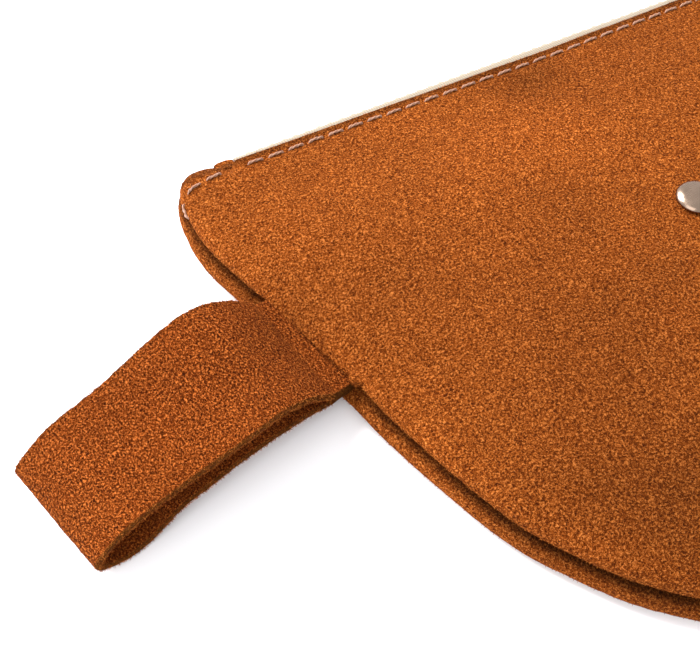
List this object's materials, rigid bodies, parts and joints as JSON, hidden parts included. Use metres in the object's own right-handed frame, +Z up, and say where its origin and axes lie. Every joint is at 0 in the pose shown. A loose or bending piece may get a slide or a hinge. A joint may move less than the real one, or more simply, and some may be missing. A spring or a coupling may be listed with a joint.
{
  "type": "wristlet wallet",
  "caption": "Flat round-bottomed suede zip pouch with a cotton lining, a folded finger loop sewn in its side seam and a plain snap stud on its front.",
  "frame": {"origin": "middle of the flat back, which rests on the table", "axes": "+X along the zip towards the slider's closed end, +Y from the round bottom to the zip, +Z up out of the front"},
  "size_m": [0.246, 0.1557, 0.0158],
  "materials": {
    "suede": "napped suede, matte",
    "lining": "plain cotton twill, matte",
    "zip_tape": "woven polyester tape, matte",
    "zip_plastic": "moulded acetal",
    "thread": "bonded sewing thread",
    "nickel": "satin nickel plating"
  },
  "bodies": {
    "pouch": {"front_panel": "suede", "back_panel": "suede", "front_lining": "lining", "back_lining": "lining", "zip_tape_front": "zip_tape", "zip_tape_back": "zip_tape", "zip_chain_front": "zip_plastic", "zip_chain_back": "zip_plastic", "zip_top_stop_front": "zip_plastic", "zip_top_stop_back": "zip_plastic", "zip_bottom_stop": "zip_plastic", "zip_end_tab_left": "suede", "zip_end_tab_right": "suede", "wrist_loop_tail": "suede", "stud_cap": "nickel", "stud_washer": "nickel", "topstitch_front": "thread", "topstitch_back": "thread", "seam_thread": "thread"},
    "slider": {"zip_slider": "nickel"},
    "puller": {"zip_puller": "nickel"},
    "loop": {"wrist_loop": "suede"}
  },
  "joints": [
    {"name": "zip_slide", "type": "slide", "parent": "pouch", "child": "slider", "axis": [-1, 0, 0], "range_m": [0, 0.146]},
    {"name": "puller_hinge", "type": "hinge", "parent": "slider", "child": "puller", "pos_m": [0.0731, 0.07815, 0.0057], "axis": [0, 0, -1], "range_deg": [0, 180]},
    {"name": "loop_hinge", "type": "hinge", "parent": "pouch", "child": "loop", "pos_m": [-0.09082, 0.02208, 0.0073], "axis": [-0.2079, 0.9781, 0], "range_deg": [0, 90]}
  ]
}
